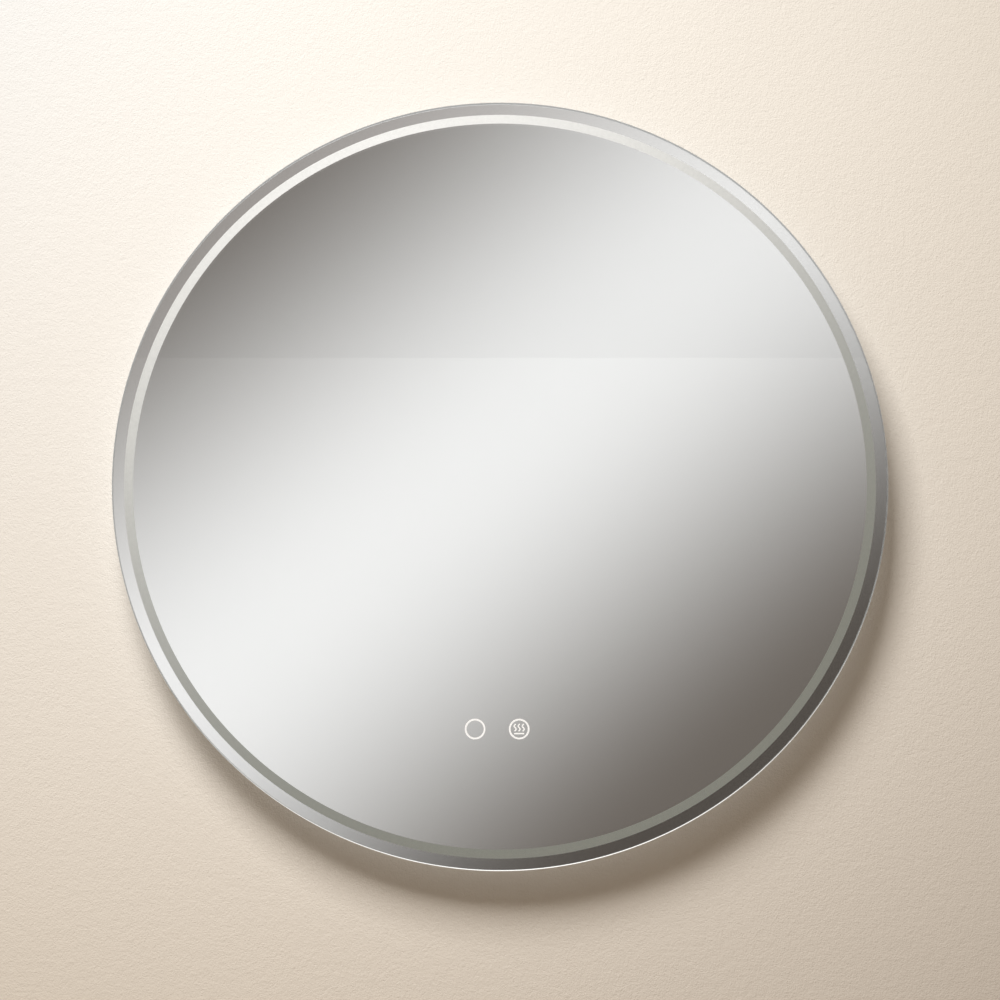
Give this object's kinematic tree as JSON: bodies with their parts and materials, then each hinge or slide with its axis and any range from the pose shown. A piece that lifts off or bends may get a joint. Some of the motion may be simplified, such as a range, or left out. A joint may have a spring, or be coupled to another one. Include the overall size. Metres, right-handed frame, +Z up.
{
  "type": "lighted bathroom mirror",
  "caption": "Round wall mirror with an etched light ring and touch icons. A hoop and a pressed back cover house its light and demister, and it hooks onto a wall rail.",
  "frame": {"origin": "the point on the wall behind the middle of the glass, on the axis of the cable grommet, where the supply cable leaves the wall", "axes": "+Z up, the wall is the plane y = 0 and the glass faces -Y, so +X is on the right of a person who looks into the mirror"},
  "size_m": [0.5999, 0.0395, 0.6],
  "materials": {
    "galvanised_steel": "zinc plated",
    "clear_glass": "polished float glass",
    "backed_silver": "silvered, painted behind",
    "black_tape": "acrylic foam tape",
    "opal_plastic": "opal acrylic",
    "tape_white": "white solder mask",
    "phosphor": "silicone over phosphor",
    "hoop_aluminium": "satin anodised",
    "cover_paint": "fine powder coat",
    "screw_zinc": "zinc plated",
    "black_rubber": "moulded",
    "clamp_nylon": "natural nylon",
    "box_plastic": "fine spark texture",
    "block_plastic": "translucent polyamide",
    "driver_white": "flame-retardant plastic",
    "mounting_tape": "foam tape",
    "board_green": "solder mask",
    "component_dark": "moulded",
    "touch_black": "moulded",
    "pad_film": "polyester film",
    "pad_foil": "etched foil",
    "lead_white": "twin flat insulation",
    "lead_grey": "twin flat insulation",
    "lead_earth": "green and yellow insulation",
    "earth_metal": "nickel-free, plain"
  },
  "bodies": {
    "wall_mount": {"wall_rail": "galvanised_steel"},
    "mirror": {"access_lid": "cover_paint", "back_cover": "cover_paint", "bond_tape": "black_tape", "bumper_pads": "black_rubber", "cable_grommet": "black_rubber", "chassis_joiner": "hoop_aluminium", "chassis_ring": "hoop_aluminium", "cord_clamp": "clamp_nylon", "cover_screws": "screw_zinc", "demister_lead": "lead_grey", "demister_pad": "pad_film", "demister_track": "pad_foil", "diffuser_ring": "opal_plastic", "driver_board": "board_green", "driver_case": "driver_white", "driver_components": "component_dark", "driver_lid": "driver_white", "driver_tapes": "mounting_tape", "earth_lead": "lead_earth", "earth_nut": "earth_metal", "earth_ring_terminal": "earth_metal", "earth_stud": "earth_metal", "hanger_rail": "galvanised_steel", "heat_touch_board": "board_green", "heat_touch_case": "touch_black", "heat_touch_lead": "lead_white", "heat_touch_lid": "touch_black", "joiner_rivets": "hoop_aluminium", "lead_clips": "clamp_nylon", "led_chips": "phosphor", "led_lead": "lead_white", "led_tape": "tape_white", "lid_screws": "screw_zinc", "light_touch_board": "board_green", "light_touch_case": "touch_black", "light_touch_lead": "lead_white", "light_touch_lid": "touch_black", "mains_link_lead": "lead_white", "mirror_coating": "backed_silver", "mirror_glass": "clear_glass", "terminal_block": "block_plastic", "terminal_box": "box_plastic", "touch_tapes": "mounting_tape"}
  },
  "joints": [
    {"name": "lift_off", "type": "slide", "parent": "wall_mount", "child": "mirror", "axis": [0, 0, 1], "range_m": [0, 0.012]}
  ]
}
